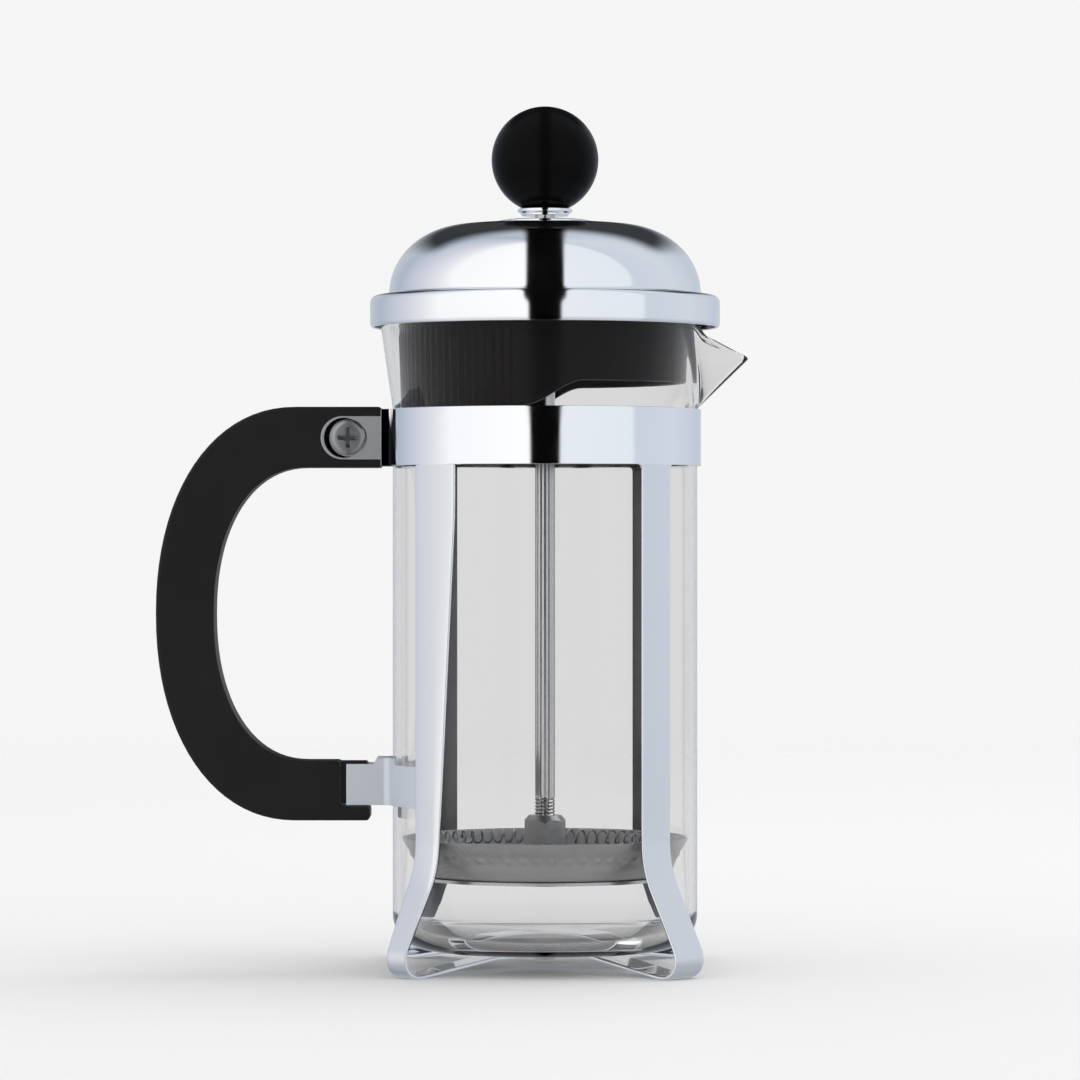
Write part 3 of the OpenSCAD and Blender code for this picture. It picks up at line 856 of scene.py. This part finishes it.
def dome():
    """One sheet: rolled brim, fillet, round shoulder and a nearly flat crown."""
    shoulder_x, shoulder_z = 18.0, 155.0
    hole = 4.1
    sheet = 0.8
    brim_round = 1.6
    steps = 40

    def side(inset):
        a = DOME_R - shoulder_x - inset
        b = CROWN_Z - 0.3 - shoulder_z - inset
        brim = arc(BRIM_R - brim_round, BRIM_Z[1] - brim_round, brim_round - inset, 0, 78, 8)
        foot_r = DOME_R - inset
        foot_z = BRIM_Z[1] - inset * 0.9
        neck = fillet([(BRIM_R - 1.3, foot_z, 0), (foot_r + 0.15, foot_z - 0.02, 0.9),
                       (foot_r, foot_z + 2.5, 0)], closed=False, count=8)[1:-1]
        shell = [(shoulder_x + a * math.cos(t), shoulder_z + b * math.sin(t))
                 for t in (math.radians(5 + 85 * i / steps) for i in range(steps + 1))]
        crown = [(12.0, CROWN_Z - inset - 0.06), (hole, CROWN_Z - inset)]
        return brim + neck + shell + crown

    lip = [(BRIM_R - sheet, BRIM_Z[0] + 0.3)]
    lip += arc(BRIM_R - sheet / 2 - 0.15, BRIM_Z[0] + 0.35, 0.35, 200, 340, 6)
    lip += [(BRIM_R, BRIM_Z[0] + 0.9)]
    profile = lip + side(0.0) + list(reversed(side(sheet)))
    piece("domed_lid", turned(profile, 256), "lid", "chrome", CHROME, ["lid_dome"])


def lining():
    """Plastic lining: a disc on the glass rim and a skirt. The skirt's deep part, with
    ribs, is on the handle's side, and its short part on the spout's side."""
    disc_low, disc_high = LINING_Z
    disc_r, hole_r = 39.1, 4.1
    skirt_r, foot_r, root_r = 33.2, 32.6, 33.5
    rib_pitch, rib_h = 2.0, 0.28
    rib_count = round(2 * math.pi * skirt_r / rib_pitch)
    deep_z, middle_z, short_z = 124.0, 128.5, 134.2
    notch_x = -5.0
    thickness = 1.5
    rows = 12

    def edge_z(x):
        if x < notch_x:
            return deep_z + (middle_z - deep_z) * smoothstep(notch_x - 2.0, notch_x, x)
        return middle_z + (short_z - middle_z) * smoothstep(notch_x, 9.0, x)

    def at(angle):
        x = skirt_r * math.cos(angle)
        bottom = edge_z(x)
        step = smoothstep(6.0, 10.0, x)
        ribbed = 1.0 - smoothstep(-7.5, -6.0, x)
        rib = rib_h * (0.5 + 0.5 * math.cos(rib_count * angle)) * ribbed

        def radius(z):
            taper = foot_r + 0.9 * (z - deep_z) / (disc_low - deep_z)
            return taper - 0.55 * step + rib * smoothstep(disc_low - 2.4, disc_low - 3.4, z)

        levels = [bottom + 0.5 + (disc_low - bottom - 0.5) * i / rows for i in range(rows + 1)]
        outer = [(radius(z), z) for z in levels]
        lip = [(radius(bottom) - 0.15, bottom + 0.12), (radius(bottom) - 0.5, bottom),
               (radius(bottom) - thickness + 0.4, bottom), (radius(bottom) - thickness, bottom + 0.3)]
        inner = [(radius(z) - thickness, z) for z in levels]
        profile = [(hole_r, disc_low), (root_r - thickness - 0.6, disc_low)]
        profile += [*reversed(inner[1:-1]), *reversed(lip), *outer[:-1]]
        profile += [(root_r + 0.4, disc_low), (disc_r - 0.2, disc_low), (disc_r, disc_low + 0.2),
                    (disc_r, disc_high - 0.2), (disc_r - 0.2, disc_high), (hole_r, disc_high)]
        return profile

    piece("ribbed_lining", turned(at, rib_count * 8), "lid", "insert_plastic",
                 LINING_BLACK, ["lid_insert"])


def bush():
    """Threaded bush with a shallow saucer for a head, in which the rod slides."""
    low, flange = 142.5, CROWN_Z + 0.1
    bore, outer = ROD_R + 0.06, 4.0
    profile = [(bore, low + 0.2), (bore + 0.2, low), (outer - 0.3, low), (outer, low + 0.3), (outer, flange)]
    profile += [(10.3, flange)] + arc(10.55, flange + 0.3, 0.25, -70, 60, 5)
    profile += [(9.6, flange + 0.68), (7.5, flange + 0.9), (5.0, flange + 1.02), (3.2, flange + 1.1),
                (bore + 0.25, flange + 1.1), (bore, flange + 0.9)]
    piece("saucer_bush", turned(profile, 128), "lid_bush", "chrome", CHROME, ["guide_bush"])


# ---- Plunger ----

def knob():
    """Ball with a flat, slightly eased foot and a blind bore for the rod."""
    flat = COLLAR_Z[1]
    foot_r = math.sqrt(KNOB_R ** 2 - (KNOB_Z - flat) ** 2)
    first = math.degrees(math.asin((flat - KNOB_Z) / KNOB_R))
    bore_top = KNOB_Z + 2.05
    profile = [(0.0, bore_top), (ROD_R + 0.02, bore_top), (ROD_R + 0.02, flat + 0.3), (ROD_R + 0.4, flat),
               (foot_r - 0.5, flat), (foot_r - 0.1, flat + 0.08)]
    profile += arc(0.0, KNOB_Z, KNOB_R, first + 3, 90, 56)
    profile[-1] = (0.0, KNOB_Z + KNOB_R)
    piece("ball_knob", turned(profile, 128, looped=False), "plunger",
                 "knob_plastic", KNOB_BLACK, ["plunger_knob"])


def collar():
    low, high = COLLAR_Z
    bore = ROD_R + 0.02
    profile = fillet([(bore, low, 0.1), (5.3, low, 0.25), (5.6, low + 0.55, 0.2), (6.3, low + 0.95, 0.3),
                      (6.3, high, 0.15), (bore, high, 0.1)], count=4)
    piece("knob_collar_ring", turned(profile, 96), "plunger", "chrome", CHROME, ["knob_collar"])


def rod():
    """Drawn rod with a short M5 thread above the hub nut and a plain stud below."""
    pitch, depth = 0.8, 0.36
    thread = (HUB_TOP - 1.0, 39.4)
    crest = 2.48
    rows = int((thread[1] - thread[0]) / 0.1)

    def at(angle):
        profile = [(0.0, PISTON_FOOT_Z), (STUD_R - 0.3, PISTON_FOOT_Z), (STUD_R, PISTON_FOOT_Z + 0.3),
                   (STUD_R, thread[0] - 0.3)]
        for i in range(rows + 1):
            z = thread[0] + (thread[1] - thread[0]) * i / rows
            phase = (z / pitch - angle / (2 * math.pi)) % 1.0
            fade = smoothstep(thread[1], thread[1] - 0.5, z)
            ridge = abs(2 * phase - 1)
            profile.append((ROD_R - 0.05 * fade + (crest - ROD_R - depth * (1 - ridge)) * fade, z))
        top = KNOB_Z + 2.0
        profile += [(ROD_R, thread[1] + 0.2), (ROD_R, 90.0), (ROD_R, 140.0), (ROD_R, top - 0.3),
                    (ROD_R - 0.3, top), (0.0, top)]
        return profile

    piece("threaded_rod", turned(at, 64, looped=False), "plunger", "steel", STEEL, ["plunger_rod"])


def spiral_plate():
    """Pressed plate with an upturned rim and a ring of round holes."""
    low = FILTER_Z[0] + 0.4
    bore, bend_r, rim_r, rim_top = STUD_R + 0.05, 26.8, 28.6, 26.6
    profile = fillet([(bore, low, 0), (bend_r, low, 1.2), (rim_r, rim_top, 0.15),
                      (rim_r - PLATE_T, rim_top, 0.15), (bend_r - PLATE_T, low + PLATE_T, 0.6),
                      (bore, low + PLATE_T, 0)], count=5)
    obj = piece("pressed_spiral_plate", turned(profile, 128), "plunger", "steel",
                PRESSED, ["spiral_plate"])
    holes, hole_r, ring_r = 8, 3.4, 19.0
    bottom, top = low - OVERLAP, low + 2 * OVERLAP
    hole = [(0.0, bottom), (hole_r, bottom), (hole_r, top), (0.0, top)]
    shells = []
    for i in range(holes):
        angle = 2 * math.pi * i / holes
        centre = (ring_r * math.cos(angle), ring_r * math.sin(angle))
        shells.append(turned(hole, 48, looped=False, centre=centre))
    carve(obj, mesh_object("holes", joined(*shells)))


def spring():
    """Coil spring bent to a ring: a wire wound on a ring-shaped core."""
    ring_r, ring_z = 30.15, 28.55
    coil_r, wire_r, turns = 1.45, 0.24, 70
    per_turn, around = 20, 8
    rings = []
    for i in range(turns * per_turn):
        along = 2 * math.pi * i / (turns * per_turn)
        coil = 2 * math.pi * i / per_turn
        out = Vector((math.cos(along), math.sin(along), 0.0))
        up = Vector((0.0, 0.0, 1.0))
        radial = out * math.cos(coil) + up * math.sin(coil)
        centre = out * ring_r + up * ring_z + radial * coil_r
        forward = Vector((-out.y, out.x, 0.0)) * (ring_r / turns)
        forward += (up * math.cos(coil) - out * math.sin(coil)) * coil_r
        binormal = forward.cross(radial).normalized()
        ring = []
        for k in range(around):
            a = 2 * math.pi * k / around
            ring.append(tuple(centre + (radial * math.cos(a) + binormal * math.sin(a)) * wire_r))
        rings.append(ring)
    piece("ring_spring", swept(rings, looped=True), "plunger", "steel", SCREW_STEEL, ["spiral_spring"])


def filter_cloth():
    """Dished wire cloth with a row of soft dimples round the middle of its wall."""
    low, high = FILTER_Z
    inner_r, outer_r = FILTER_R
    bore, flat_r, thickness = STUD_R + 0.05, 20.0, 0.35
    dimples, dimple_h = 58, 0.4
    rows = 28

    def at(angle):
        wall = []
        for i in range(rows + 1):
            t = i / rows
            press = math.exp(-((t - 0.5) / 0.08) ** 2) * (0.5 + 0.5 * math.cos(dimples * angle))
            hollow = math.exp(-((t - 0.5) / 0.2) ** 2)
            wall.append((inner_r + (outer_r - inner_r) * t + dimple_h * press - dimple_h * hollow,
                         low + 0.6 + (high - low - 0.6) * t))
        outer = [(bore, low), (flat_r, low), (inner_r - 1.0, low), (inner_r - 0.3, low + 0.15)] + wall
        inner = [(r - thickness, z) for r, z in reversed(wall)]
        inner += [(inner_r - 1.2, low + thickness), (flat_r, low + thickness), (bore, low + thickness)]
        return outer + inner

    piece("dished_wire_cloth", turned(at, dimples * 6), "plunger", "mesh_steel", CLOTH, ["filter_mesh"])


# ---- Assembly ----

def build_stand():
    clamp_band()
    ear("front_ear", -1)
    ear("back_ear", 1)
    for letter, azimuth, level in zip("ab", LEG_AZIMUTHS, CROSSING_Z):
        strap(f"foot_strap_{letter}", azimuth, level, f"leg_strap_{letter}")
    strap_rivet()
    handle_bracket()
    handle_grip()
    handle_tongue()
    handle_screw()
    behind = HANDLE_T / 2 + 0.05
    nut("handle_hex_nut", 7.0, 0.0, 3.2, 2.02, "stand", SCREW_STEEL, "screw_steel", "handle_nut",
        place=lambda x, y, z: (SCREW.x + x, behind + z, SCREW.z + y))
    beaker()


def build_lid():
    dome()
    lining()
    bush()
    top = LINING_Z[0] - 0.1
    nut("bush_hex_nut", 13.0, top - 4.0, top, 4.02, "lid_bush", PRESSED, "steel", "bush_nut")


def build_plunger():
    knob()
    collar()
    rod()
    base = FILTER_Z[0] + 0.4 + PLATE_T
    nut("tall_hub_nut", 9.4, base, HUB_TOP, 2.52, "plunger", SCREW_STEEL, "steel", "hub_nut", crown=0.8)
    spiral_plate()
    spring()
    filter_cloth()
    cross_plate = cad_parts["cross_plate"]
    cross_plate.data.materials.clear()
    cross_plate.data.materials.append(PRESSED)
    nut("piston_lock_nut", 8.0, PISTON_FOOT_Z, 20.65, 2.02, "plunger", PRESSED, "steel", "piston_nut")


# ---- Studio ----

def floor_material():
    """Pale matt floor that fades out into the background far from the object, a little
    dimmer through the glass."""
    material, tree, bsdf = blank_material("pale_floor")
    coords = object_coordinates(tree)
    fade_start, fade_end = 0.35, 1.6
    seen = two_tone(tree, noise(tree, coords, 3.0), (0.86, 0.86, 0.862), (0.875, 0.875, 0.877))
    through = add_node(tree, "ShaderNodeLightPath", {}).outputs["Is Transmission Ray"]
    length = add_node(tree, "ShaderNodeVectorMath", {0: coords}, operation="LENGTH").outputs["Value"]
    fill(tree, bsdf, {"Base Color": mixed_colour(tree, through, seen, (0.69, 0.69, 0.69)),
                      "Roughness": 0.9, "Specular IOR Level": 0.1,
                      "Alpha": ranged(tree, length, 1.0, 0.0, fade_start, fade_end, "SMOOTHSTEP")})
    return material


def studio_panels(tree, azimuth):
    """Colour of the surroundings by azimuth, 0 towards the camera, in degrees."""
    stops = [(-180, 0.62, 0.64, 0.67), (-137, 0.43, 0.49, 0.58), (-104, 0.66, 0.68, 0.76),
             (-88, 0.80, 0.81, 0.84), (-74, 0.98, 0.99, 1.0), (-10, 1.05, 1.05, 1.05),
             (10, 0.84, 0.87, 0.92), (67, 0.80, 0.84, 0.90), (70, 0.62, 0.67, 0.75),
             (110, 0.66, 0.70, 0.77), (150, 0.54, 0.60, 0.68), (180, 0.62, 0.64, 0.67)]
    share = ranged(tree, azimuth, 0.0, 1.0, -math.pi, math.pi)
    return graded(tree, share, [(0.5 + degrees / 360.0, colour) for degrees, *colour in stops])


def studio_strength(tree, x, y, z):
    """Brightness of the surroundings: dimmer downwards, almost black in the gap in front
    and on the ceiling behind."""
    fall = ranged(tree, z, 0.7, 1.0, -0.5, 0.0)
    aside = calculated(tree, "ABSOLUTE", x)
    gap_half_w = calculated(tree, "MULTIPLY_ADD", y, -0.102, 0.088)
    widening = calculated(tree, "MULTIPLY", soft_step(tree, z, 0.02, 0.055), 0.053)
    past_gap = calculated(tree, "SUBTRACT", aside, calculated(tree, "ADD", gap_half_w, widening))
    beside_gap = soft_step(tree, past_gap, -0.025, 0.018)
    behind = soft_step(tree, y, 0.30, 0.64)
    height = calculated(tree, "SUBTRACT", z, calculated(tree, "MULTIPLY", aside, 0.8))
    ceiling = calculated(tree, "MULTIPLY", behind, soft_step(tree, height, -0.02, 0.26))
    open_sky = calculated(tree, "SUBTRACT", 1.0, calculated(tree, "MULTIPLY", ceiling, 0.93))
    return calculated(tree, "MULTIPLY", fall, calculated(tree, "MULTIPLY", beside_gap, open_sky))


def studio_world():
    """What the chrome reflects: large soft panels at the left and the right of a dark gap
    in front, pale surroundings, and a dark ceiling behind. Everything else, and the
    background itself, sees one plain pale tone, a little dimmer through the glass."""
    world = bpy.data.worlds.new("studio")
    bpy.context.scene.world = world
    world.use_nodes = True
    tree = world.node_tree
    tree.nodes.clear()
    direction = add_node(tree, "ShaderNodeTexCoord", {}).outputs["Generated"]
    split = add_node(tree, "ShaderNodeSeparateXYZ", {"Vector": direction})
    x, y, z = (split.outputs[axis] for axis in "XYZ")
    azimuth = calculated(tree, "ARCTAN2", x, calculated(tree, "MULTIPLY", y, -1.0))
    path = add_node(tree, "ShaderNodeLightPath", {})
    through = calculated(tree, "MULTIPLY", path.outputs["Is Transmission Ray"],
                         soft_step(tree, y, -0.1, 0.2))
    mirrored = calculated(tree, "MULTIPLY", path.outputs["Is Glossy Ray"],
                          calculated(tree, "SUBTRACT", 1.0, through))
    dimmed = calculated(tree, "MULTIPLY_ADD", through, -0.22, 1.0)
    plain = add_node(tree, "ShaderNodeBackground", {"Color": (0.92, 0.917, 0.918, 1.0),
                                                    "Strength": dimmed})
    studio = add_node(tree, "ShaderNodeBackground", {"Color": studio_panels(tree, azimuth),
                                                     "Strength": studio_strength(tree, x, y, z)})
    choose = add_node(tree, "ShaderNodeMixShader", {"Fac": mirrored, 1: plain.outputs["Background"],
                                                    2: studio.outputs["Background"]})
    add_node(tree, "ShaderNodeOutputWorld", {"Surface": choose.outputs["Shader"]})


def build_studio():
    ring_w, rings = 200.0, 10
    disc = [(0.0, 0.0)] + [(ring_w * (i + 1), 0.0) for i in range(rings)]
    floor = mesh_object("floor", turned(disc, 96, looped=False))
    floor.data.materials.append(floor_material())
    floor.visible_glossy = False
    studio_world()
    aim = Vector((0.0, 0.0, 0.06))
    lamp_data = bpy.data.lights.new("key", "AREA")
    lamp_data.shape = "DISK"
    lamp_data.size = 1.6
    lamp_data.energy = 6.0
    lamp = bpy.data.objects.new("key", lamp_data)
    bpy.context.collection.objects.link(lamp)
    lamp.location = (0.55, 0.35, 1.5)
    lamp.rotation_euler = (aim - lamp.location).to_track_quat("-Z", "Y").to_euler()
    lamp.visible_glossy = False
    bpy.context.scene.view_settings.view_transform = "Standard"


def build_camera():
    """Level with the middle of the object, far enough for the slight perspective of a
    long lens."""
    aside, distance, eye_height = -0.00115, 1.127, 0.0983
    data = bpy.data.cameras.new("camera")
    data.sensor_width = 36.0
    data.lens = 163.3
    data.clip_start = 0.05
    camera = bpy.data.objects.new("camera", data)
    bpy.context.collection.objects.link(camera)
    camera.location = (aside, -distance, eye_height)
    camera.rotation_euler = (math.pi / 2, 0.0, 0.0)
    bpy.context.scene.camera = camera


build_camera()
build_stand()
build_lid()
build_plunger()
build_studio()
